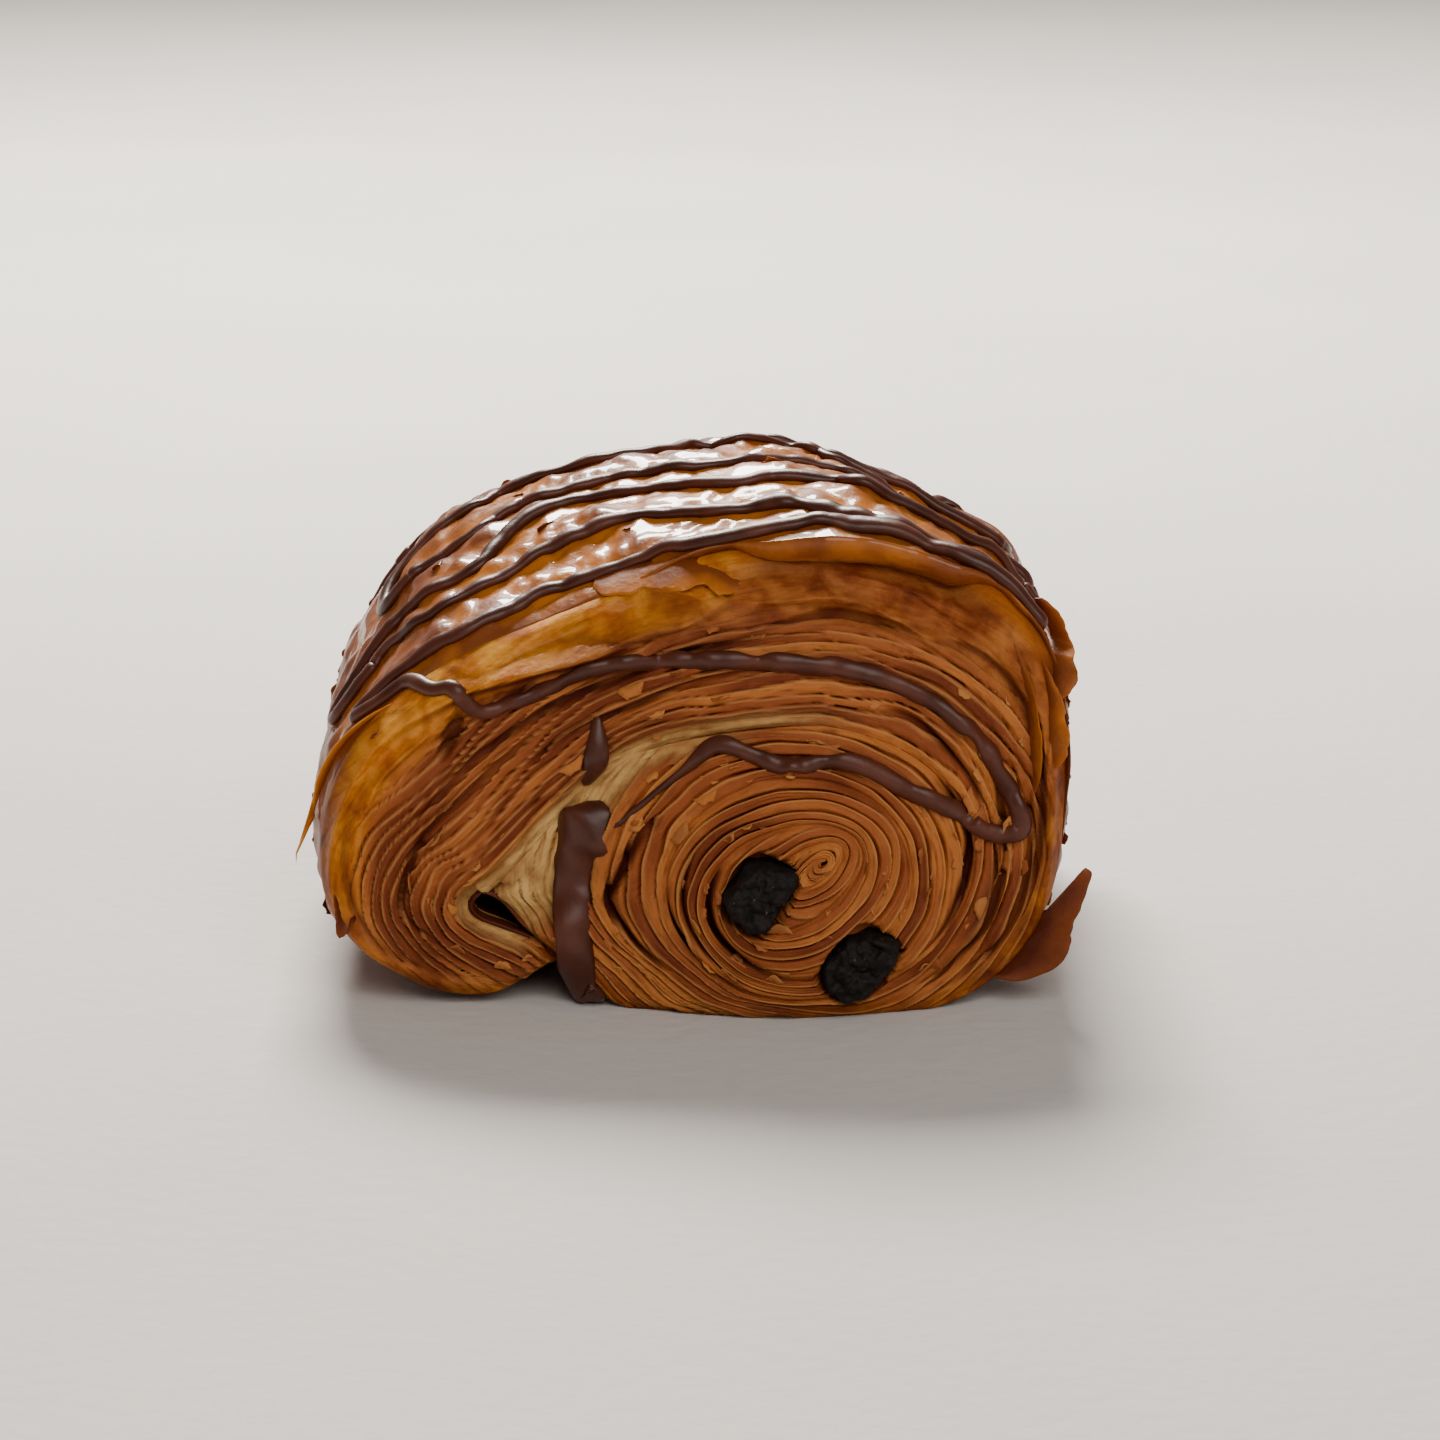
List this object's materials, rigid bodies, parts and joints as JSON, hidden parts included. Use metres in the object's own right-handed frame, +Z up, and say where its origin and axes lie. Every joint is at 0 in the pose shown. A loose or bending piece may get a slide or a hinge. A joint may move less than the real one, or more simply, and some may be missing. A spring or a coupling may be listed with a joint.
{
  "type": "pain au chocolat",
  "caption": "Baked roll of laminated dough round chocolate sticks, with a spiral at each end and one edge curled under.",
  "frame": {"origin": "on the table, at the bottom centre of the whole pastry's bounding box", "axes": "+Z up, +Y along the roll away from the end shown in the picture, +X to the right of that end, on the side away from the curl"},
  "size_m": [0.086, 0.0858, 0.0565],
  "materials": {
    "crust": "golden brown baked butter dough, glazed on top and dry and flaky on the ends",
    "chocolate": "dark baking chocolate, matt where it has baked at the ends"
  },
  "bodies": {
    "root": {"dough_roll": "crust", "chocolate_stick_upper": "chocolate", "chocolate_stick_lower": "chocolate"}
  },
  "joints": []
}
